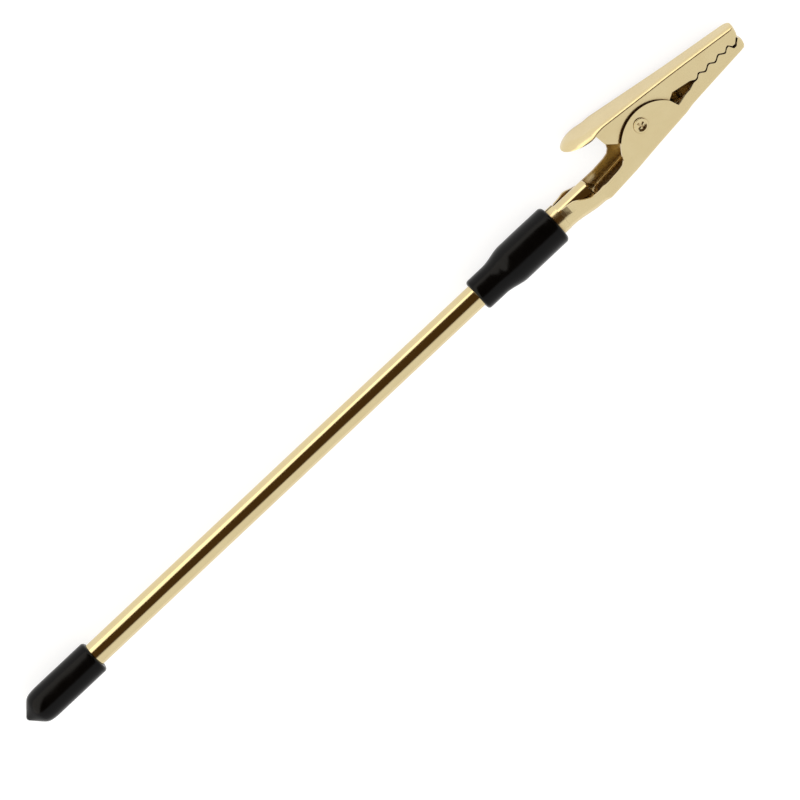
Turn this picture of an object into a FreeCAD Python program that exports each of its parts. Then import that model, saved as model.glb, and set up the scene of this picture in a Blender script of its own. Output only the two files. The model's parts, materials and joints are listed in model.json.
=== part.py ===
"""Alligator clip on a plain rod, with a vinyl sleeve at the joint and a vinyl cap on the far end.

Millimetres. X runs along the rod from the cap's tip (x = 0, on the rod's axis) to the jaw tips.
Y points to the side that the thumb lever is on. Z is parallel to the pivot rivet.
"""

import FreeCAD, Part
import math
import os

# ---- rod, cap and sleeve ----
ROD_RADIUS = 2.0
ROD_START = 2.6
ROD_END = 121.4
ROD_CHAMFER = 0.2
CAP_LENGTH = 14.65
CAP_RADIUS = 2.885
CAP_NOSE_RADIUS = 0.3
CAP_NOSE_LENGTH = 2.3
CAP_SAG = 0.19
SLEEVE_START = 97.0
SLEEVE_END = 113.8
SLEEVE_ROD_RADIUS = 2.83
SLEEVE_BARREL_RADIUS = 3.485
SLEEVE_STEP_START = 101.4
SLEEVE_STEP_END = 104.0
SLEEVE_SAG = 0.12

# ---- sheet metal of the clip ----
SHEET = 0.42
JAW_SIDE_GAP = 0.12
BARREL_START = 102.0
BARREL_END = 115.2
BARREL_RADIUS = ROD_RADIUS + SHEET
BARREL_SEAM = 0.3
TAB_RADIUS = BARREL_RADIUS - 0.06
TAB_TOP = 1.62
TAB_TUCK_ANGLE = 13.0
TAB_TUCK_END = 118.4
FLOOR_HOLE_X = 123.05
FLOOR_HOLE_RADIUS = 1.15
CHANNEL_HALF_WIDTH = 3.94
CHANNEL_CORNER = 0.8
FRONT_CORNER = 0.6
JOGGLE_START = 140.4
JOGGLE_END = 142.4
NOSE_X = 154.75
NOSE_CORNER = 1.1

# ---- lower jaw's stations along the rod ----
FLARE_START = 115.8
FLARE_END = 121.4
RAMP_START = 121.5
RAMP_END = 123.1
EAR_TAPER_START = 128.6
SPINE = [(BARREL_END, -TAB_RADIUS), (RAMP_START, -TAB_RADIUS), (RAMP_END, -2.1),
         (134.0, -1.2), (142.5, -0.65), (155.0, 0.28)]
WALL_TOP = [(BARREL_START, 2.3), (RAMP_END, 2.3), (128.0, 8.0)]

# ---- pivot ----
PIVOT_X = 133.6
PIVOT_Y = 3.62
RIVET_RADIUS = 1.0
RIVET_CLEARANCE = 0.05
HEAD_RADIUS = 1.7
HEAD_HEIGHT = 0.35
STAKED_RADIUS = 1.23
STAKED_HEIGHT = 0.28
HEAD_ROUNDING = 0.28
STAKED_ROUNDING = 0.12
DISH_RADII = (0.55, 0.95)
DISH_DEPTH = 0.14
CROSS_LENGTH = 1.4
CROSS_WIDTH = 0.34
CROSS_DEPTH = 0.36
CROSS_TURN = 20.0
EAR_CENTRE = (134.2, -0.77)
EAR_RADIUS = 6.6

# ---- upper jaw ----
PLATE_SLOPE = -0.1405
PLATE_TOP_AT_PIVOT = 7.45
CROWN_RADIUS = 1.1
CROWN_ANGLE = 46.0
FOLD_RADIUS = 0.23
KNEE_X = 142.7
KNEE_HALF_WIDTH = 2.13
KNEE_SOFTNESS = 2.0
REAR_TAPER = 0.09
FRONT_TAPER = 0.03
WAIST_X = 127.9
PAD_RADIUS = 4.0
PAD_CENTRE_X = 126.1
PAD_CROWN_RADIUS = 2.6
PAD_SKIRT = 0.95
PAD_CROWN_RUN = 3.2
INNER_FOLD_RADIUS = 0.1
COVER_DEPTH = 9.0
NOSE_LEAN = 0.2
PLATE_COSINE = 1.0 / math.sqrt(1.0 + PLATE_SLOPE ** 2)

# ---- teeth ----
TOOTH_PITCH = 2.1
TOOTH_HEIGHT = 0.52
TOOTH_START = 144.9
TOOTH_COUNT = 4
TOOTH_LINE_Y = 2.42
TOOTH_LINE_SLOPE = -0.02
BITE_GAP = 0.28

# ---- torsion spring ----
WIRE_RADIUS = 0.36
COIL_RADIUS = 1.5
COIL_PITCH = 0.85
COIL_WHOLE_TURNS = 3
FLOOR_LEG_ANGLE = -58.0
PLATE_LEG_ANGLE = 60.0
FLOOR_LEG_LENGTH = 5.95
PLATE_LEG_LENGTH = 4.2

FAR = 30.0


def vec(x, y, z=0.0):
    return FreeCAD.Vector(x, y, z)


def blend(start, end, t):
    """Smooth step from start to end as t goes from 0 to 1."""
    t = min(max(t, 0.0), 1.0)
    return start + (end - start) * t * t * (3.0 - 2.0 * t)


def along(points, x):
    """Straight-line interpolation in a list of (x, value) pairs."""
    for (x0, v0), (x1, v1) in zip(points, points[1:]):
        if x <= x1:
            return v0 + (v1 - v0) * (x - x0) / (x1 - x0)
    return points[-1][1]


def revolve(outline):
    """Solid of revolution about X from (x, radius) corners."""
    wire = Part.makePolygon([vec(x, r) for x, r in outline + outline[:1]])
    return Part.Face(wire).revolve(vec(0, 0), vec(1, 0), 360)


def circle_edges(solid, x, radius, tolerance=0.02):
    """Circular edges about the rod's axis at a station x with a given radius."""
    found = []
    for edge in solid.Edges:
        curve = edge.Curve
        if isinstance(curve, Part.Circle) and abs(curve.Center.x - x) < tolerance:
            if abs(curve.Radius - radius) < tolerance:
                found.append(edge)
    return found


def round_circle(solid, x, radius, size):
    return solid.makeFillet(size, circle_edges(solid, x, radius))


def write(shape, node):
    shape.removeSplitter().exportStep("parts/%s.step" % node)


# ---------------------------------------------------------------- rod and vinyl

def rod():
    solid = Part.makeCylinder(ROD_RADIUS, ROD_END - ROD_START, vec(ROD_START, 0), vec(1, 0))
    ends = circle_edges(solid, ROD_START, ROD_RADIUS) + circle_edges(solid, ROD_END, ROD_RADIUS)
    return solid.makeChamfer(ROD_CHAMFER, ends)


def end_cap():
    """Dipped cap with a blunt cone nose and a rolled mouth, tight on the rod and thicker below it."""
    solid = revolve([
        (0.0, 0.0),
        (0.0, CAP_NOSE_RADIUS),
        (CAP_NOSE_LENGTH, CAP_RADIUS),
        (CAP_LENGTH, CAP_RADIUS),
        (CAP_LENGTH, 0.0),
    ])
    solid = round_circle(solid, 0.0, CAP_NOSE_RADIUS, 0.25)
    solid = round_circle(solid, CAP_NOSE_LENGTH, CAP_RADIUS, 1.2)
    solid = round_circle(solid, CAP_LENGTH, CAP_RADIUS, 0.6)
    solid.translate(vec(0, -CAP_SAG))
    pocket = revolve([
        (ROD_START, 0.0),
        (ROD_START, ROD_RADIUS - ROD_CHAMFER),
        (ROD_START + ROD_CHAMFER, ROD_RADIUS),
        (CAP_LENGTH + 1.0, ROD_RADIUS),
        (CAP_LENGTH + 1.0, 0.0),
    ])
    return solid.cut(pocket)


def joint_sleeve():
    """Dipped sleeve that steps up from the rod on to the clip's barrel, thicker below them."""
    solid = revolve([
        (SLEEVE_START, 0.0),
        (SLEEVE_START, SLEEVE_ROD_RADIUS),
        (SLEEVE_STEP_START, SLEEVE_ROD_RADIUS),
        (SLEEVE_STEP_END, SLEEVE_BARREL_RADIUS),
        (SLEEVE_END, SLEEVE_BARREL_RADIUS),
        (SLEEVE_END, 0.0),
    ])
    solid = round_circle(solid, SLEEVE_START, SLEEVE_ROD_RADIUS, 0.55)
    solid = round_circle(solid, SLEEVE_STEP_START, SLEEVE_ROD_RADIUS, 3.0)
    solid = round_circle(solid, SLEEVE_STEP_END, SLEEVE_BARREL_RADIUS, 3.0)
    solid = round_circle(solid, SLEEVE_END, SLEEVE_BARREL_RADIUS, 0.7)
    solid.translate(vec(0, -SLEEVE_SAG))
    bore = revolve([
        (SLEEVE_START - 1.0, 0.0),
        (SLEEVE_START - 1.0, ROD_RADIUS),
        (BARREL_START, ROD_RADIUS),
        (BARREL_START, BARREL_RADIUS),
        (SLEEVE_END + 1.0, BARREL_RADIUS),
        (SLEEVE_END + 1.0, 0.0),
    ])
    return solid.cut(bore)


# ---------------------------------------------------------------- shared jaw shapes

def upper_half_width(x):
    """Outer half width of the upper jaw, which both jaws share ahead of the joggle."""
    past_knee = x - KNEE_X
    softened = 0.5 * (past_knee + math.sqrt(past_knee ** 2 + KNEE_SOFTNESS ** 2))
    return KNEE_HALF_WIDTH - REAR_TAPER * past_knee + (REAR_TAPER - FRONT_TAPER) * softened


def nose_half_width(x, half_width, inset):
    """Half width x gives near the nose, where the wall turns in round a corner."""
    corner = NOSE_CORNER - inset
    into = x - (NOSE_X - inset - corner)
    if into <= 0.0:
        return half_width
    return half_width - corner + math.sqrt(max(corner * corner - into * into, 0.0))


def tooth_line(offset):
    """Points of the bite line, from the back of the teeth to the front of the nose."""
    points = []
    for step in range(2 * TOOTH_COUNT):
        x = TOOTH_START + 0.5 * TOOTH_PITCH * step
        side = 0.5 if step % 2 else -0.5
        middle = TOOTH_LINE_Y + TOOTH_LINE_SLOPE * (x - TOOTH_START)
        points.append((x, middle + side * TOOTH_HEIGHT + offset))
    return points


def wave(points):
    """Curve through alternating crests and roots, level at each one."""
    curve = Part.BSplineCurve()
    flat = [vec(1, 0)] * len(points)
    places = [vec(x, y) for x, y in points]
    curve.interpolate(Points=places, Tangents=flat, TangentFlags=[True] * len(points))
    return curve.toShape()


def chain(points):
    return [
        Part.LineSegment(vec(*a), vec(*b)).toShape()
        for a, b in zip(points, points[1:])
        if (vec(*a) - vec(*b)).Length > 1e-6
    ]


def through_z(edges):
    """Extrude a closed outline in the XY plane right across the clip."""
    face = Part.Face(Part.Wire(edges))
    face.translate(vec(0, 0, -FAR))
    return face.extrude(vec(0, 0, 2 * FAR))


def crosswise_hole(radius):
    return Part.makeCylinder(radius, 2 * FAR, vec(PIVOT_X, PIVOT_Y, -FAR), vec(0, 0, 1))


# ---------------------------------------------------------------- lower jaw

def lower_half_width(x):
    if x < EAR_TAPER_START:
        return blend(TAB_RADIUS, CHANNEL_HALF_WIDTH, (x - FLARE_START) / (FLARE_END - FLARE_START))
    behind = min(CHANNEL_HALF_WIDTH, upper_half_width(x) + JAW_SIDE_GAP + SHEET)
    return blend(behind, upper_half_width(x), (x - JOGGLE_START) / (JOGGLE_END - JOGGLE_START))


def lower_corner(x):
    if x < EAR_TAPER_START:
        return blend(TAB_RADIUS - 0.05, CHANNEL_CORNER, (x - RAMP_START) / (RAMP_END - RAMP_START))
    return blend(CHANNEL_CORNER, FRONT_CORNER, (x - JOGGLE_START) / (JOGGLE_END - JOGGLE_START))


def trough_section(x, inset):
    """Closed outline across the lower jaw, open shape's outside (inset 0) or inside."""
    half = nose_half_width(x, lower_half_width(x), inset) - inset
    bottom = along(SPINE, x) + inset
    corner = min(lower_corner(x) - inset, half - 0.03)
    tuck = math.radians(blend(TAB_TUCK_ANGLE, 0.0, (x - BARREL_END) / (TAB_TUCK_END - BARREL_END)))
    top = along(WALL_TOP, x)

    def bend(angle, side):
        """Point of the corner, angle measured up from level with the corner's centre."""
        across = half - corner + corner * math.cos(angle)
        return vec(x, bottom + corner + corner * math.sin(angle), side * across)

    def lip(side):
        start = bend(tuck, 1)
        return vec(x, top, side * (start.z - (top - start.y) * math.tan(tuck)))

    def line(start, end):
        return Part.LineSegment(start, end).toShape()

    down, middle = -0.5 * math.pi, 0.5 * (tuck - 0.5 * math.pi)
    edges = [
        line(lip(1), bend(tuck, 1)),
        Part.Arc(bend(tuck, 1), bend(middle, 1), bend(down, 1)).toShape(),
        line(bend(down, 1), bend(down, -1)),
        Part.Arc(bend(down, -1), bend(middle, -1), bend(tuck, -1)).toShape(),
        line(bend(tuck, -1), lip(-1)),
        line(lip(-1), lip(1)),
    ]
    return Part.Wire(edges)


def trough_stations(inset):
    """Where the sections stand: close together in the flare, the joggle and the nose."""
    front = NOSE_X - inset
    corner = NOSE_CORNER - inset
    back = BARREL_END - (0.0 if inset == 0.0 else 1.0)
    flare = [FLARE_START + (FLARE_END - FLARE_START) * i / 6.0 for i in range(7)]
    ramp = [RAMP_START + (RAMP_END - RAMP_START) * i / 4.0 for i in range(1, 5)]
    channel = [EAR_TAPER_START, 134.0, 137.0]
    joggle = [JOGGLE_START + (JOGGLE_END - JOGGLE_START) * i / 5.0 for i in range(6)]
    mouth = [144.5, 148.0]
    turn = [front - corner + corner * math.sin(math.radians(a)) for a in (0, 25, 45, 62, 78)]
    return [back] + flare + ramp + channel + joggle + mouth + turn


def trough(inset):
    return Part.makeLoft([trough_section(x, inset) for x in trough_stations(inset)], True, True)


def lower_side_profile():
    """Side view of the folded walls: crimp tabs, channel, round ear, pocket, teeth and nose."""
    cx, cy = EAR_CENTRE

    def on_ear(x):
        return (x, cy + math.sqrt(EAR_RADIUS ** 2 - (x - cx) ** 2))

    ear_back, ear_front = on_ear(127.95), on_ear(139.65)
    teeth = tooth_line(-0.5 * BITE_GAP)
    back = [
        (BARREL_END - 1.0, -6.0),
        (BARREL_END - 1.0, -1.0),
        (BARREL_END, -1.0),
        (BARREL_END, 1.3),
        (115.7, TAB_TOP),
        (117.9, TAB_TOP),
        (118.5, 1.4),
        (119.5, 0.85),
        (120.4, 0.46),
        (121.2, 0.36),
        (124.0, 0.36),
        (126.5, 0.6),
        (127.4, 0.85),
        ear_back,
    ]
    pocket = [ear_front, (140.25, 1.4), (143.3, 1.65), (144.4, 2.05), teeth[0]]
    front = [
        teeth[-1],
        (152.75, 1.5),
        (153.3, 1.5),
        (153.95, 2.1),
        (154.25, 2.3),
        (NOSE_X - 0.1, 1.9),
    ]
    chin = [(153.4, -0.05), (153.4, -6.0), (BARREL_END - 1.0, -6.0)]
    nose = Part.Arc(vec(*front[-1]), vec(154.35, 0.62), vec(*chin[0])).toShape()
    ear = Part.Arc(vec(*ear_back), vec(*on_ear(cx)), vec(*ear_front)).toShape()
    return through_z(
        chain(back) + [ear] + chain(pocket) + [wave(teeth)] + chain(front) + [nose] + chain(chin)
    )


def barrel():
    """Rolled tube with its open seam on the lever side; the rod's bore is cut later."""
    tube = Part.makeCylinder(BARREL_RADIUS, BARREL_END - BARREL_START, vec(BARREL_START, 0), vec(1, 0))
    seam = Part.makeBox(FAR, FAR, BARREL_SEAM, vec(BARREL_START - 1.0, 0.0, -0.5 * BARREL_SEAM))
    return tube.cut(seam)


def lower_jaw():
    """Fixed jaw: rolled barrel, crimp tabs, channel, ears and toothed front, folded from one sheet."""
    folded = trough(0.0).cut(trough(SHEET)).common(lower_side_profile())
    floor_hole = Part.makeCylinder(FLOOR_HOLE_RADIUS, 6.0, vec(FLOOR_HOLE_X, -5.0), vec(0, 1))
    folded = folded.cut(floor_hole)
    bore = Part.makeCylinder(ROD_RADIUS, ROD_END - BARREL_START + 1.0, vec(BARREL_START - 1.0, 0), vec(1, 0))
    return folded.fuse(barrel()).cut([bore, crosswise_hole(RIVET_RADIUS)])


# ---------------------------------------------------------------- upper jaw

def plate_top(x):
    return PLATE_TOP_AT_PIVOT + PLATE_SLOPE * (x - PIVOT_X)


def crown_profile(half, crown, inset):
    """Half of a section across the plate: centre of the top, crowned shoulder, tight fold, side."""
    angle = math.radians(CROWN_ANGLE)
    fold = FOLD_RADIUS if inset == 0.0 else INNER_FOLD_RADIUS
    reach = (crown - fold) * math.sin(angle) + fold
    scale = min(1.0, (half - 0.02) / reach)
    crown, fold = crown * scale, fold * scale
    flat = half - (crown - fold) * math.sin(angle) - fold

    def shoulder(a):
        return (flat + crown * math.sin(a), crown * (math.cos(a) - 1.0))

    bend = shoulder(angle)
    centre = (bend[0] - fold * math.sin(angle), bend[1] - fold * math.cos(angle))
    middle = 0.5 * (angle + 0.5 * math.pi)
    return [
        (flat, 0.0),
        shoulder(0.5 * angle),
        bend,
        (centre[0] + fold * math.sin(middle), centre[1] + fold * math.cos(middle)),
        (half, centre[1]),
        (half, -COVER_DEPTH),
    ]


def crown_edges(profile, place, side):
    """Edges of one half section, from the top's edge down the side."""
    p = [place(across, height, side) for across, height in profile]
    return [
        Part.Arc(p[0], p[1], p[2]).toShape(),
        Part.Arc(p[2], p[3], p[4]).toShape(),
        Part.LineSegment(p[4], p[5]).toShape(),
    ]


def cover_section(s, half, crown, inset):
    profile = crown_profile(half, crown, inset)

    def place(across, height, side):
        return vec(s, height - inset, side * across)

    near, far = crown_edges(profile, place, 1), crown_edges(profile, place, -1)
    flat, deep = profile[0][0], profile[-1][0]
    top = Part.LineSegment(place(flat, 0.0, -1), place(flat, 0.0, 1)).toShape()
    bottom = Part.LineSegment(place(deep, -COVER_DEPTH, 1), place(deep, -COVER_DEPTH, -1)).toShape()
    return Part.Wire(Part.__sortEdges__([top] + near + [bottom] + far))


def plate_half_width(x):
    body = upper_half_width(x)
    return body + blend(PAD_RADIUS - body, 0.0, (x - PAD_CENTRE_X) / (WAIST_X - PAD_CENTRE_X))


def plate_crown(x):
    return blend(PAD_CROWN_RADIUS, CROWN_RADIUS, (x - PAD_CENTRE_X) / PAD_CROWN_RUN)


def cover(inset):
    """Block with the upper jaw's outer (inset 0) or inner surface, in its place on the clip."""
    stations = [PAD_CENTRE_X + 0.4 * i for i in range(9)]
    stations += [131.0, 134.0, 138.0, 141.0, KNEE_X, 144.4, 148.0]
    corner = NOSE_CORNER - inset
    front = NOSE_X + NOSE_LEAN - inset
    stations += [front - corner + corner * math.sin(math.radians(a)) for a in (0, 25, 45, 62, 78)]
    sections = []
    for x in stations:
        half = plate_half_width(x) - inset
        into = x - (front - corner)
        if into > 0.0:
            half += math.sqrt(max(corner * corner - into * into, 0.0)) - corner
        s = (x - PIVOT_X) / PLATE_COSINE
        sections.append(cover_section(s, half, plate_crown(x) - inset, inset))
    body = Part.makeLoft(sections, True, True)

    pad_s = (PAD_CENTRE_X - PIVOT_X) / PLATE_COSINE
    profile = crown_profile(PAD_RADIUS - inset, PAD_CROWN_RADIUS - inset, inset)

    def place(across, height, side):
        return vec(pad_s, height - inset, side * across)

    rim = crown_edges(profile, place, 1)
    top, floor = place(0.0, 0.0, 1), place(0.0, -COVER_DEPTH, 1)
    closing = [
        Part.LineSegment(top, place(profile[0][0], 0.0, 1)).toShape(),
        Part.LineSegment(place(profile[-1][0], -COVER_DEPTH, 1), floor).toShape(),
        Part.LineSegment(floor, top).toShape(),
    ]
    face = Part.Face(Part.Wire(Part.__sortEdges__(rim + closing)))
    pad = face.revolve(top, vec(0, 1, 0), -180)
    block = body.fuse(pad)
    block.rotate(vec(0, 0), vec(0, 0, 1), math.degrees(math.atan(PLATE_SLOPE)))
    block.translate(vec(PIVOT_X, PLATE_TOP_AT_PIVOT, 0))
    return block


def upper_side_profile():
    """Side view: thumb pad's rim, side walls down to the pivot, pocket, teeth and nose."""
    teeth = tooth_line(0.5 * BITE_GAP)
    start = (118.0, plate_top(118.0) - PAD_SKIRT)
    back = [
        start,
        (127.15, plate_top(127.15) - PAD_SKIRT),
        (127.25, 6.8),
        (127.45, 5.4),
        (129.0, 3.9),
        (131.2, 2.5),
        (132.6, 2.1),
        (134.8, 2.1),
        (138.3, 2.3),
        (139.4, 2.7),
        (140.8, 3.5),
        (144.1, 2.78),
        teeth[0],
    ]
    front = [
        teeth[-1],
        (152.75, 2.0),
        (153.3, 1.95),
        (153.95, 2.55),
        (154.3, 2.65),
        (154.6, 2.95),
        (154.75, 3.4),
        (NOSE_X + 1.0, 3.5),
        (NOSE_X + 1.0, 14.0),
        (118.0, 14.0),
        start,
    ]
    return through_z(chain(back) + [wave(teeth)] + chain(front))


def upper_jaw():
    """Moving jaw and thumb lever, folded from one sheet."""
    folded = cover(0.0).cut(cover(SHEET)).common(upper_side_profile())
    return folded.cut(crosswise_hole(RIVET_RADIUS + RIVET_CLEARANCE))


# ---------------------------------------------------------------- pivot

def rivet_disc(radius, start, height):
    return Part.makeCylinder(radius, height, vec(PIVOT_X, PIVOT_Y, start), vec(0, 0, 1))


def round_rim(disc, z, size):
    return disc.makeFillet(size, [e for e in disc.Edges if abs(e.BoundBox.Center.z - z) < 1e-6 and e.Closed])


def pivot_rivet(ears):
    """Shank between the ears, a low round head on one side and a cross-staked end on the other."""
    half = lower_half_width(PIVOT_X)
    face = half + STAKED_HEIGHT
    shank = rivet_disc(RIVET_RADIUS, -half, 2 * half)
    back = -half - HEAD_HEIGHT
    head = round_rim(rivet_disc(HEAD_RADIUS, back, HEAD_HEIGHT), back, HEAD_ROUNDING)
    end = round_rim(rivet_disc(STAKED_RADIUS, half, STAKED_HEIGHT), face, STAKED_ROUNDING)
    dish = Part.makeCone(*DISH_RADII, DISH_DEPTH, vec(PIVOT_X, PIVOT_Y, face - DISH_DEPTH), vec(0, 0, 1))
    solid = shank.fuse([head, end]).cut(dish)
    for turn in (CROSS_TURN, CROSS_TURN + 90.0):
        slot = Part.makeBox(CROSS_LENGTH, CROSS_WIDTH, 1.0, vec(-0.5 * CROSS_LENGTH, -0.5 * CROSS_WIDTH))
        slot.rotate(vec(0, 0), vec(0, 0, 1), turn)
        slot.translate(vec(PIVOT_X, PIVOT_Y, face - CROSS_DEPTH))
        solid = solid.cut(slot)
    return solid.cut(ears)


def spring_leg(start, heading, length):
    wire = Part.makeCylinder(WIRE_RADIUS, length, start, heading)
    return wire.fuse(Part.makeSphere(WIRE_RADIUS, start))


def torsion_spring():
    """Coil round the rivet inside the upper jaw, with a leg on the floor and a leg on the plate."""
    turns = COIL_WHOLE_TURNS + (PLATE_LEG_ANGLE - FLOOR_LEG_ANGLE) / 360.0
    height = COIL_PITCH * turns
    rise = COIL_PITCH / (2.0 * math.pi * COIL_RADIUS)
    start = vec(COIL_RADIUS, 0.0)
    circle = Part.Wire(Part.makeCircle(WIRE_RADIUS, start, vec(0.0, 1.0, rise)).Edges)
    helix = Part.Wire(Part.makeHelix(COIL_PITCH, height, COIL_RADIUS).Edges)
    coil = helix.makePipeShell([circle], True, True)
    end_turn = 2.0 * math.pi * turns
    end = vec(COIL_RADIUS * math.cos(end_turn), COIL_RADIUS * math.sin(end_turn), height)
    floor_leg = spring_leg(start, vec(0.0, -1.0, -rise), FLOOR_LEG_LENGTH)
    plate_leg = spring_leg(end, vec(-math.sin(end_turn), math.cos(end_turn), rise), PLATE_LEG_LENGTH)
    spring = coil.fuse([floor_leg, plate_leg])
    spring.translate(vec(0, 0, -0.5 * height))
    spring.rotate(vec(0, 0), vec(0, 0, 1), FLOOR_LEG_ANGLE)
    spring.translate(vec(PIVOT_X, PIVOT_Y, 0))
    return spring


def main():
    os.makedirs("parts", exist_ok=True)
    write(rod(), "rod")
    write(end_cap(), "end_cap")
    write(joint_sleeve(), "joint_sleeve")
    lower = lower_jaw()
    write(lower, "lower_jaw")
    write(upper_jaw(), "upper_jaw")
    write(pivot_rivet(lower), "pivot_rivet")
    write(torsion_spring(), "torsion_spring")


main()
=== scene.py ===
"""Looks for the alligator clip on a rod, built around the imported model.

Metres. X runs along the rod to the jaw tips, Y is the lever side, Z is parallel to the pivot rivet.
"""

import json
import math

import bmesh
import bpy
from mathutils import Matrix, Vector, noise


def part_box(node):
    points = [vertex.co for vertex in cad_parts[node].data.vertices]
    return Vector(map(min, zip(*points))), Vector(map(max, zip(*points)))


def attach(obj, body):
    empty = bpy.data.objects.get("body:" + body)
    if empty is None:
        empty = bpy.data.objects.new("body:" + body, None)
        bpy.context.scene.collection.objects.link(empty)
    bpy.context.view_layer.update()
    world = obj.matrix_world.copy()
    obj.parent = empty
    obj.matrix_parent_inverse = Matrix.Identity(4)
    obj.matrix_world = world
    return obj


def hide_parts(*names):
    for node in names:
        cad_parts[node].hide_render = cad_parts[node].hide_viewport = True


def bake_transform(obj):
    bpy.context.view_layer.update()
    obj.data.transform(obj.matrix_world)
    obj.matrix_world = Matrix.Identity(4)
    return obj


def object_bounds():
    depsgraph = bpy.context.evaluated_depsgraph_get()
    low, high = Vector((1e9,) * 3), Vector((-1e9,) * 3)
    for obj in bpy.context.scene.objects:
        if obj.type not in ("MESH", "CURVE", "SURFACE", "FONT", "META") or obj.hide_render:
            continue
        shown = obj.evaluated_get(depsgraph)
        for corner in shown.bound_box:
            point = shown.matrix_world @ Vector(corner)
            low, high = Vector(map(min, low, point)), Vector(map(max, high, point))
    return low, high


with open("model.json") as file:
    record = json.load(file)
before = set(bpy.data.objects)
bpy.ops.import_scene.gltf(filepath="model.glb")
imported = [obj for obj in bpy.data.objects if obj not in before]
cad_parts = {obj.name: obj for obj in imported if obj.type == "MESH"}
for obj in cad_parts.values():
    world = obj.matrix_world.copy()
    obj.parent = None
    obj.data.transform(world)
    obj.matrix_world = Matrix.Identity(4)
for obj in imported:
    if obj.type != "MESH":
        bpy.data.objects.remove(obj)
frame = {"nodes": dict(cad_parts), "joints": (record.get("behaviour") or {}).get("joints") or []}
cad_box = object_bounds()

MM = 0.001
BASE = "clip_base"

# ---------------------------------------------------------------- places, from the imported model

rod_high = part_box("rod")[1]
cap_low, cap_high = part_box("end_cap")
sleeve_low, sleeve_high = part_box("joint_sleeve")
hinge = frame["joints"][0]
pivot = Vector(hinge["pos_m"])
whole_low = Vector(cad_box[0])
ROD_RADIUS = rod_high.y
CAP_RADIUS = cap_high.z
SLEEVE_RADIUS = sleeve_high.z
CAP_SAG = -0.5 * (cap_low.y + cap_high.y)
SLEEVE_SAG = -0.5 * (sleeve_low.y + sleeve_high.y)

# ---------------------------------------------------------------- camera

VIEW_TILT = math.radians(25.0)
VIEW_ROLL = math.radians(43.22)
VIEW_DISTANCE = 0.5616
VIEW_WIDTH = 0.12563
AIM_ALONG = 0.0770
AIM_ACROSS = -0.0037
SENSOR_MM = 36.0

view_dir = Vector((0.0, math.sin(VIEW_TILT), math.cos(VIEW_TILT)))
across = Vector((0.0, math.cos(VIEW_TILT), -math.sin(VIEW_TILT)))
along = Vector((1.0, 0.0, 0.0))


def make_camera():
    """Camera square to the rod, tipped towards the lever, with the rod running up to the right."""
    data = bpy.data.cameras.new("camera")
    data.sensor_width = SENSOR_MM
    data.lens = SENSOR_MM * VIEW_DISTANCE / VIEW_WIDTH
    data.clip_start = 0.01
    data.clip_end = 10.0
    camera = bpy.data.objects.new("camera", data)
    right = along * math.cos(VIEW_ROLL) - across * math.sin(VIEW_ROLL)
    up = along * math.sin(VIEW_ROLL) + across * math.cos(VIEW_ROLL)
    turn = Matrix((right, up, view_dir)).transposed().to_4x4()
    aim = along * AIM_ALONG + across * AIM_ACROSS
    camera.matrix_world = Matrix.Translation(aim + view_dir * VIEW_DISTANCE) @ turn
    bpy.context.scene.collection.objects.link(camera)
    bpy.context.scene.camera = camera


# ---------------------------------------------------------------- materials

def new_material(name):
    material = bpy.data.materials.new(name)
    material.use_nodes = True
    nodes = material.node_tree.nodes
    return material, nodes, material.node_tree.links, nodes["Principled BSDF"]


def add(nodes, kind, **values):
    node = nodes.new(kind)
    for key, value in values.items():
        setattr(node, key, value)
    return node


def object_mapping(nodes, links, scale):
    coords = add(nodes, "ShaderNodeTexCoord")
    mapping = add(nodes, "ShaderNodeMapping")
    mapping.inputs["Scale"].default_value = scale
    links.new(coords.outputs["Object"], mapping.inputs["Vector"])
    return mapping.outputs["Vector"]


def noise_node(nodes, links, vector, scale, detail=3.0, roughness=0.5):
    node = add(nodes, "ShaderNodeTexNoise")
    node.inputs["Scale"].default_value = scale
    node.inputs["Detail"].default_value = detail
    node.inputs["Roughness"].default_value = roughness
    links.new(vector, node.inputs["Vector"])
    return node.outputs["Fac"]


NOISE_LOW, NOISE_HIGH = 0.25, 0.75


def spread(nodes, links, value, low, high):
    """Map the band that a noise texture mostly stays in to a range."""
    node = add(nodes, "ShaderNodeMapRange")
    node.inputs["From Min"].default_value = NOISE_LOW
    node.inputs["From Max"].default_value = NOISE_HIGH
    node.inputs["To Min"].default_value = low
    node.inputs["To Max"].default_value = high
    links.new(value, node.inputs["Value"])
    return node.outputs["Result"]


def mix_colors(nodes, links, factor, first, second):
    node = add(nodes, "ShaderNodeMix", data_type="RGBA")
    node.inputs["A"].default_value = (*first, 1.0)
    node.inputs["B"].default_value = (*second, 1.0)
    links.new(factor, node.inputs["Factor"])
    return node.outputs["Result"]


def bumped(nodes, links, height, strength, distance):
    node = add(nodes, "ShaderNodeBump")
    node.inputs["Strength"].default_value = strength
    node.inputs["Distance"].default_value = distance
    links.new(height, node.inputs["Height"])
    return node.outputs["Normal"]


PALE_GOLD = (0.70, 0.585, 0.335)
WARM_GOLD = (0.67, 0.545, 0.30)
# painted shade colour, mixed into the sheet plating where ambient occlusion finds nearby surfaces
PAINTED_SHADE_BROWN = (0.20, 0.088, 0.014)
SHELTERED, UNSHELTERED = 0.36, 0.80
PAINTED_SHADE_REACH = 3.5 * MM
PLATING_CLOUD_SCALE = 260.0
PLATING_BUMP = 0.00001
VINYL_BLACK = (0.0006, 0.0005, 0.0005)
VINYL_DUSTY = (0.0014, 0.0012, 0.0011)
WIRE_PALE = (0.70, 0.64, 0.50)
WIRE_DULL = (0.62, 0.55, 0.42)
FLOOR_DIM = (0.31, 0.31, 0.31)
FLOOR_LIGHT = (0.33, 0.33, 0.33)
FLOOR_GLOW = 0.77


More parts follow.
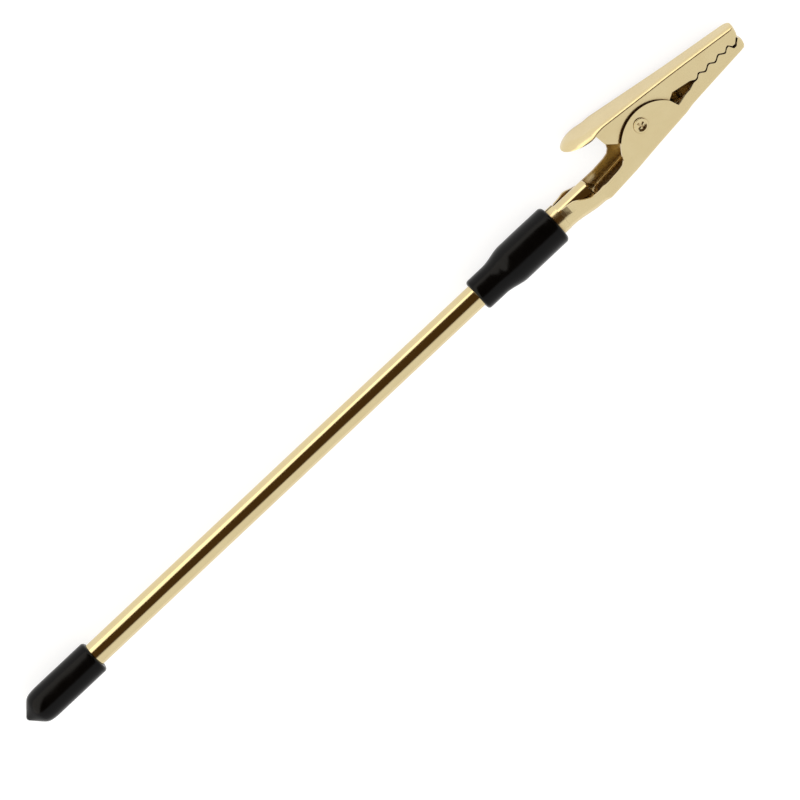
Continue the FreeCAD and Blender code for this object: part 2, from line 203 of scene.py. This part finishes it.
def plated_metal(name, rough_low, rough_high, grain, bump, shade_reach=0.0):
    """Pale gold plating with a fine grain, and painted shade: amber brown where nearby surfaces, within the
    given reach, shelter it.
    """
    material, nodes, links, shader = new_material(name)
    shader.inputs["Metallic"].default_value = 1.0
    even = object_mapping(nodes, links, (1.0, 1.0, 1.0))
    drawn = object_mapping(nodes, links, grain)
    cloud = noise_node(nodes, links, even, PLATING_CLOUD_SCALE, 3.0)
    streak = noise_node(nodes, links, drawn, 1.0, 4.0, 0.6)
    plating = mix_colors(nodes, links, spread(nodes, links, cloud, 0.0, 1.0), PALE_GOLD, WARM_GOLD)
    # painted shade: ambient occlusion darkens the plating to amber brown in hollows and between parts
    if shade_reach > 0.0:
        shelter = add(nodes, "ShaderNodeAmbientOcclusion", samples=6)
        shelter.inputs["Distance"].default_value = shade_reach
        open_part = add(nodes, "ShaderNodeMapRange", interpolation_type="SMOOTHSTEP")
        open_part.inputs["From Min"].default_value = SHELTERED
        open_part.inputs["From Max"].default_value = UNSHELTERED
        links.new(shelter.outputs["AO"], open_part.inputs["Value"])
        painted_shade = add(nodes, "ShaderNodeMix", data_type="RGBA")
        painted_shade.inputs["A"].default_value = (*PAINTED_SHADE_BROWN, 1.0)
        links.new(plating, painted_shade.inputs["B"])
        links.new(open_part.outputs["Result"], painted_shade.inputs["Factor"])
        plating = painted_shade.outputs["Result"]
    links.new(plating, shader.inputs["Base Color"])
    links.new(spread(nodes, links, streak, rough_low, rough_high), shader.inputs["Roughness"])
    links.new(bumped(nodes, links, streak, bump, PLATING_BUMP), shader.inputs["Normal"])
    return material


def black_vinyl():
    """Dipped vinyl: glossy black with a faint orange-peel skin and a few duller patches."""
    material, nodes, links, shader = new_material("black_vinyl")
    vector = object_mapping(nodes, links, (1.0, 1.0, 1.0))
    skin = noise_node(nodes, links, vector, 700.0, 3.0)
    dust = noise_node(nodes, links, vector, 350.0, 4.0)
    patches = spread(nodes, links, dust, 0.0, 1.0)
    links.new(mix_colors(nodes, links, patches, VINYL_BLACK, VINYL_DUSTY), shader.inputs["Base Color"])
    links.new(spread(nodes, links, dust, 0.17, 0.25), shader.inputs["Roughness"])
    links.new(bumped(nodes, links, skin, 0.2, 0.00004), shader.inputs["Normal"])
    shader.inputs["Specular IOR Level"].default_value = 0.13
    return material


def spring_wire():
    material, nodes, links, shader = new_material("spring_wire")
    shader.inputs["Metallic"].default_value = 1.0
    drawn = object_mapping(nodes, links, (700.0, 700.0, 700.0))
    streak = noise_node(nodes, links, drawn, 1.0, 3.0)
    links.new(mix_colors(nodes, links, streak, WIRE_PALE, WIRE_DULL), shader.inputs["Base Color"])
    links.new(spread(nodes, links, streak, 0.22, 0.34), shader.inputs["Roughness"])
    return material


def pale_floor():
    """Back-lit white table: it glows enough that the object hardly shades it."""
    material, nodes, links, shader = new_material("pale_floor")
    vector = object_mapping(nodes, links, (1.0, 1.0, 1.0))
    mottle = noise_node(nodes, links, vector, 40.0, 3.0)
    links.new(mix_colors(nodes, links, mottle, FLOOR_DIM, FLOOR_LIGHT), shader.inputs["Base Color"])
    shader.inputs["Roughness"].default_value = 0.9
    shader.inputs["Specular IOR Level"].default_value = 0.1
    shader.inputs["Emission Color"].default_value = (1.0, 1.0, 1.0, 1.0)
    shader.inputs["Emission Strength"].default_value = FLOOR_GLOW
    return material


METAL_SHEET = plated_metal("plated_sheet", 0.16, 0.24, (500.0, 4000.0, 4000.0), 0.35, PAINTED_SHADE_REACH)
METAL_ROD = plated_metal("plated_rod", 0.07, 0.13, (60.0, 5000.0, 5000.0), 0.3)
VINYL = black_vinyl()
WIRE = spring_wire()


def paint(obj, material):
    if obj.data.materials:
        for slot in obj.material_slots:
            slot.material = material
    else:
        obj.data.materials.append(material)


# ---------------------------------------------------------------- mesh helpers

def link(name, mesh):
    obj = bpy.data.objects.new(name, mesh)
    bpy.context.scene.collection.objects.link(obj)
    return obj


def smooth(mesh):
    for polygon in mesh.polygons:
        polygon.use_smooth = True


def lathe(name, profile, around, shape):
    """Skin turned about X from (x, radius, drop) rings; shape(x, angle) scales each point's radius."""
    mesh = bmesh.new()
    rings = []
    for x, radius, drop in profile:
        if radius == 0.0:
            rings.append([mesh.verts.new((x, -drop, 0.0))] * around)
            continue
        ring = []
        for i in range(around):
            angle = 2.0 * math.pi * i / around
            r = radius * shape(x, angle)
            ring.append(mesh.verts.new((x, r * math.sin(angle) - drop, r * math.cos(angle))))
        rings.append(ring)
    for a, b in zip(rings, rings[1:]):
        for i in range(around):
            j = (i + 1) % around
            corners = list(dict.fromkeys([a[i], a[j], b[j], b[i]]))
            if len(corners) > 2:
                mesh.faces.new(corners)
    bmesh.ops.recalc_face_normals(mesh, faces=mesh.faces)
    data = bpy.data.meshes.new(name)
    mesh.to_mesh(data)
    mesh.free()
    smooth(data)
    return link(name, data)


def arc(centre, radius, start, end, steps):
    """Points (x, r) on an arc; angles in degrees, 0 towards +x and 90 outwards."""
    points = []
    for i in range(steps + 1):
        a = math.radians(start + (end - start) * i / steps)
        points.append((centre[0] + radius * math.cos(a), centre[1] + radius * math.sin(a)))
    return points


def bump_at(x, angle, x0, angle0, width, turn):
    """Rounded hill of height 1 at one spot on a turned surface; angles in degrees."""
    off = (math.degrees(angle) - angle0 + 180.0) % 360.0 - 180.0
    return math.exp(-((x - x0) / width) ** 2 - (off / turn) ** 2)


def unevenness(x, angle, seed):
    """Slow wander between 0 and 1 over a dipped surface."""
    return 0.5 + 0.5 * noise.noise((x * 260.0, 0.8 * math.sin(angle) + seed, 0.8 * math.cos(angle)))


def dented(x, angle, seed, wander, dents):
    """Share of the radius left by the slow wander and by each dent: depth, then where bump_at puts it."""
    hollow = wander * unevenness(x, angle, seed)
    for depth, *place in dents:
        hollow += depth * bump_at(x, angle, *place)
    return 1.0 - hollow


# ---------------------------------------------------------------- vinyl cap and sleeve

VINYL_GAP = 0.01 * MM
LIP = 0.08 * MM
PLAIN_LIP = 0.1 * MM
PLAIN_NOSE = 0.3 * MM
AROUND = 96
STRAIGHT_STEPS = 24
CAP_NOSE_LENGTH = 4.2
CAP_ROLL = 0.6 * MM
CAP_TUCK = 2.5 * MM
CAP_DENTS = [(0.012, 9.8 * MM, 40.0, 1.6 * MM, 50.0)]
SLEEVE_ROD_RADIUS = 2.83 * MM
SLEEVE_TUCK = 2.0 * MM
SLEEVE_DENTS = [(0.022, 102.7 * MM, 40.0, 0.5 * MM, 22.0),
                (0.018, 112.4 * MM, 70.0, 1.1 * MM, 28.0)]


def make_end_cap():
    """Dipped cap: blunt cone nose, slightly uneven skin, rolled mouth that closes on the rod."""
    mouth = cap_high.x
    nose = [(0.0, 0.0), (0.0, 0.15), (0.06, 0.28), (0.2, 0.46), (0.5, 0.78), (1.0, 1.32), (1.5, 1.87),
            (1.9, 2.27), (2.2, 2.5), (2.5, 2.65), (2.9, 2.76), (3.4, 2.84),
            (CAP_NOSE_LENGTH, CAP_RADIUS / MM)]
    outside = [(x * MM, r * MM) for x, r in nose]
    nose_end = CAP_NOSE_LENGTH * MM
    straight = mouth - CAP_ROLL - nose_end
    for i in range(1, STRAIGHT_STEPS + 1):
        outside.append((nose_end + straight * i / STRAIGHT_STEPS, CAP_RADIUS))
    outside += arc((mouth - CAP_ROLL, CAP_RADIUS - CAP_ROLL), CAP_ROLL, 80.0, 0.0, 8)
    inside = [(mouth - LIP, ROD_RADIUS + VINYL_GAP), (mouth - CAP_TUCK, ROD_RADIUS + VINYL_GAP)]
    profile = [(x, r, CAP_SAG) for x, r in outside] + [(x, r, 0.0) for x, r in inside]

    def shape(x, angle):
        if x < PLAIN_NOSE or x > mouth - PLAIN_LIP:
            return 1.0
        return dented(x, angle, 3.0, 0.008, CAP_DENTS)

    piece = lathe("vinyl_end_cap", profile, AROUND, shape)
    piece.data.materials.append(VINYL)
    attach(piece, BASE)
    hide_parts("end_cap")


def make_joint_sleeve():
    """Dipped sleeve: a long easy shoulder over the barrel's step, a small dent, rolled mouths."""
    start, end = sleeve_low.x, sleeve_high.x
    small, large = SLEEVE_ROD_RADIUS, SLEEVE_RADIUS
    back_roll, front_roll = 0.55 * MM, 0.7 * MM
    inner = ROD_RADIUS + VINYL_GAP
    barrel = 2.43 * MM
    outside = arc((start + back_roll, small - back_roll), back_roll, 180.0, 100.0, 8)
    outside += [(start + (0.8 + 0.3 * i) * MM, small) for i in range(10)]
    shoulder = 24
    for i in range(shoulder + 1):
        t = i / shoulder
        rise = t * t * (3.0 - 2.0 * t)
        outside.append((start + (3.7 + 4.1 * t) * MM, small + (large - small) * rise))
    body_from = start + 7.9 * MM
    body_to = end - front_roll
    for i in range(STRAIGHT_STEPS + 1):
        outside.append((body_from + (body_to - body_from) * i / STRAIGHT_STEPS, large))
    outside += arc((end - front_roll, large - front_roll), front_roll, 80.0, 0.0, 8)
    back = [start + SLEEVE_TUCK, start + LIP]
    front = [end - LIP, end - SLEEVE_TUCK]
    profile = [(x, inner, 0.0) for x in back]
    profile += [(x, r, SLEEVE_SAG) for x, r in outside]
    profile += [(x, barrel, 0.0) for x in front]

    def shape(x, angle):
        if x < start + PLAIN_LIP or x > end - PLAIN_LIP:
            return 1.0
        return dented(x, angle, 8.0, 0.010, SLEEVE_DENTS)

    piece = lathe("vinyl_joint_sleeve", profile, AROUND, shape)
    piece.data.materials.append(VINYL)
    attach(piece, BASE)
    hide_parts("joint_sleeve")


# ---------------------------------------------------------------- torsion spring

WIRE_RADIUS = 0.36 * MM
COIL_RADIUS = 1.5 * MM
COIL_PITCH = 0.85 * MM
WHOLE_TURNS = 3.0
FLOOR_LEG_ANGLE, PLATE_LEG_ANGLE = -58.0, 60.0
FLOOR_LEG_LENGTH, PLATE_LEG_LENGTH = 5.95 * MM, 4.2 * MM


def tube(name, path, radius, around=14):
    """Round wire along a list of points, closed at both ends."""
    mesh = bmesh.new()
    rings = []
    for i, point in enumerate(path):
        heading = (path[min(i + 1, len(path) - 1)] - path[max(i - 1, 0)]).normalized()
        side = heading.cross(Vector((0.0, 0.0, 1.0))).normalized()
        other = heading.cross(side)
        ring = []
        for j in range(around):
            a = 2.0 * math.pi * j / around
            ring.append(mesh.verts.new(point + radius * (math.cos(a) * side + math.sin(a) * other)))
        rings.append(ring)
    for a, b in zip(rings, rings[1:]):
        for j in range(around):
            mesh.faces.new((a[j], a[(j + 1) % around], b[(j + 1) % around], b[j]))
    mesh.faces.new(rings[0])
    mesh.faces.new(rings[-1])
    bmesh.ops.recalc_face_normals(mesh, faces=mesh.faces)
    data = bpy.data.meshes.new(name)
    mesh.to_mesh(data)
    mesh.free()
    smooth(data)
    return link(name, data)


def make_spring():
    """Wire coil round the rivet; it winds up with the lever, from the floor leg to the plate leg."""
    turns = WHOLE_TURNS + (PLATE_LEG_ANGLE - FLOOR_LEG_ANGLE) / 360.0
    height = COIL_PITCH * turns
    coil_steps = 220
    leg_steps = 12
    path = []

    def on_coil(t):
        a = math.radians(FLOOR_LEG_ANGLE) + 2.0 * math.pi * turns * t
        return pivot + Vector((COIL_RADIUS * math.cos(a), COIL_RADIUS * math.sin(a), height * (t - 0.5)))

    def heading(t):
        a = math.radians(FLOOR_LEG_ANGLE) + 2.0 * math.pi * turns * t
        return Vector((-math.sin(a), math.cos(a), COIL_PITCH / (2.0 * math.pi * COIL_RADIUS))).normalized()

    for i in range(leg_steps, 0, -1):
        path.append(on_coil(0.0) - heading(0.0) * FLOOR_LEG_LENGTH * i / leg_steps)
    path += [on_coil(i / coil_steps) for i in range(coil_steps + 1)]
    for i in range(1, leg_steps + 1):
        path.append(on_coil(1.0) + heading(1.0) * PLATE_LEG_LENGTH * i / leg_steps)
    piece = tube("spring_wire_coil", path, WIRE_RADIUS)
    piece.data.materials.append(WIRE)
    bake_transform(piece)
    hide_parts("torsion_spring")


# ---------------------------------------------------------------- CAD nodes, painted and softened

EDGE_ROUNDING = 0.05 * MM
SHARP_ANGLE = 50.0


def soften_edges(node, width):
    """Tiny rounding on the cut edges of a CAD part, so they catch the light."""
    modifier = frame["nodes"][node].modifiers.new("edge_softening", "BEVEL")
    modifier.width = width
    modifier.segments = 2
    modifier.limit_method = "ANGLE"
    modifier.angle_limit = math.radians(SHARP_ANGLE)
    modifier.harden_normals = True


def dress_cad_nodes():
    paint(frame["nodes"]["rod"], METAL_ROD)
    for name in ("lower_jaw", "upper_jaw", "pivot_rivet"):
        paint(frame["nodes"][name], METAL_SHEET)
        soften_edges(name, EDGE_ROUNDING)


# ---------------------------------------------------------------- stage

FLOOR_REACH = 6.0


def make_floor():
    """Wide flat table under the lowest point of the object."""
    mesh = bpy.data.meshes.new("floor")
    signs = ((-1.0, -1.0), (1.0, -1.0), (1.0, 1.0), (-1.0, 1.0))
    corners = [(x * FLOOR_REACH, y * FLOOR_REACH, whole_low.z) for x, y in signs]
    mesh.from_pydata(corners, [], [(0, 1, 2, 3)])
    floor = link("floor", mesh)
    floor.data.materials.append(pale_floor())


SKY_EVEN = (1.0, 1.0, 1.0)
SKY_BRIGHT = (2.0, 1.9, 1.72)
SKY_DARK = (0.075, 0.04, 0.012)
DARK_FROM, DARK_TO, BRIGHT_TO = -35.0, 42.0, 93.0
DARK_TO_LEAN = 95.0
LEAN_LIMIT = 0.03
SOFTNESS = 4.0


def make_world():
    """Studio surround: an even pale tent, a dark flag on the camera's side and a bright strip beside it."""
    world = bpy.data.worlds.new("studio")
    bpy.context.scene.world = world
    world.use_nodes = True
    nodes = world.node_tree.nodes
    links = world.node_tree.links
    background = nodes["Background"]
    coords = add(nodes, "ShaderNodeTexCoord")

    def dot(direction):
        node = add(nodes, "ShaderNodeVectorMath", operation="DOT_PRODUCT")
        node.inputs[1].default_value = direction
        links.new(coords.outputs["Generated"], node.inputs[0])
        return node.outputs["Value"]

    def math_node(operation, first, second):
        node = add(nodes, "ShaderNodeMath", operation=operation)
        for i, value in enumerate((first, second)):
            if isinstance(value, float):
                node.inputs[i].default_value = value
            else:
                links.new(value, node.inputs[i])
        return node.outputs["Value"]

    def step(value, edge):
        """0 below the edge and 1 above it, in degrees, with a soft change between."""
        node = add(nodes, "ShaderNodeMapRange", interpolation_type="SMOOTHSTEP")
        node.inputs["From Min"].default_value = edge - SOFTNESS
        node.inputs["From Max"].default_value = edge + SOFTNESS
        links.new(value, node.inputs["Value"])
        return node.outputs["Result"]

    def mix(factor, first, second):
        node = add(nodes, "ShaderNodeMix", data_type="RGBA")
        links.new(factor, node.inputs["Factor"])
        for name, value in (("A", first), ("B", second)):
            if isinstance(value, tuple):
                node.inputs[name].default_value = (*value, 1.0)
            else:
                links.new(value, node.inputs[name])
        return node.outputs["Result"]

    angle = math_node("MULTIPLY", math_node("ARCTAN2", dot(across), dot(view_dir)), 180.0 / math.pi)
    lean = math_node("MULTIPLY", math_node("MINIMUM", dot(along), LEAN_LIMIT), DARK_TO_LEAN)
    leaning = math_node("SUBTRACT", angle, lean)
    dark = mix(step(angle, DARK_FROM), SKY_EVEN, SKY_DARK)
    bright = mix(step(leaning, DARK_TO), dark, SKY_BRIGHT)
    links.new(mix(step(angle, BRIGHT_TO), bright, SKY_EVEN), background.inputs["Color"])
    background.inputs["Strength"].default_value = 1.0


SOFTBOX_SIZE = 1.2
SOFTBOX_WATTS = 6.0
SOFTBOX_PLACE = (0.0775, 0.3, 1.2)
SOFTBOX_TIP = -14.0


def make_light():
    """Soft overhead light, left out of reflections so that the metal shows only the surround."""
    data = bpy.data.lights.new("softbox", "AREA")
    data.shape = "DISK"
    data.size = SOFTBOX_SIZE
    data.energy = SOFTBOX_WATTS
    light = bpy.data.objects.new("softbox", data)
    light.location = SOFTBOX_PLACE
    light.rotation_euler = (math.radians(SOFTBOX_TIP), 0.0, 0.0)
    light.visible_glossy = False
    bpy.context.scene.collection.objects.link(light)


make_camera()
dress_cad_nodes()
make_end_cap()
make_joint_sleeve()
make_spring()
make_floor()
make_world()
make_light()
bpy.context.scene.view_settings.view_transform = "Standard"
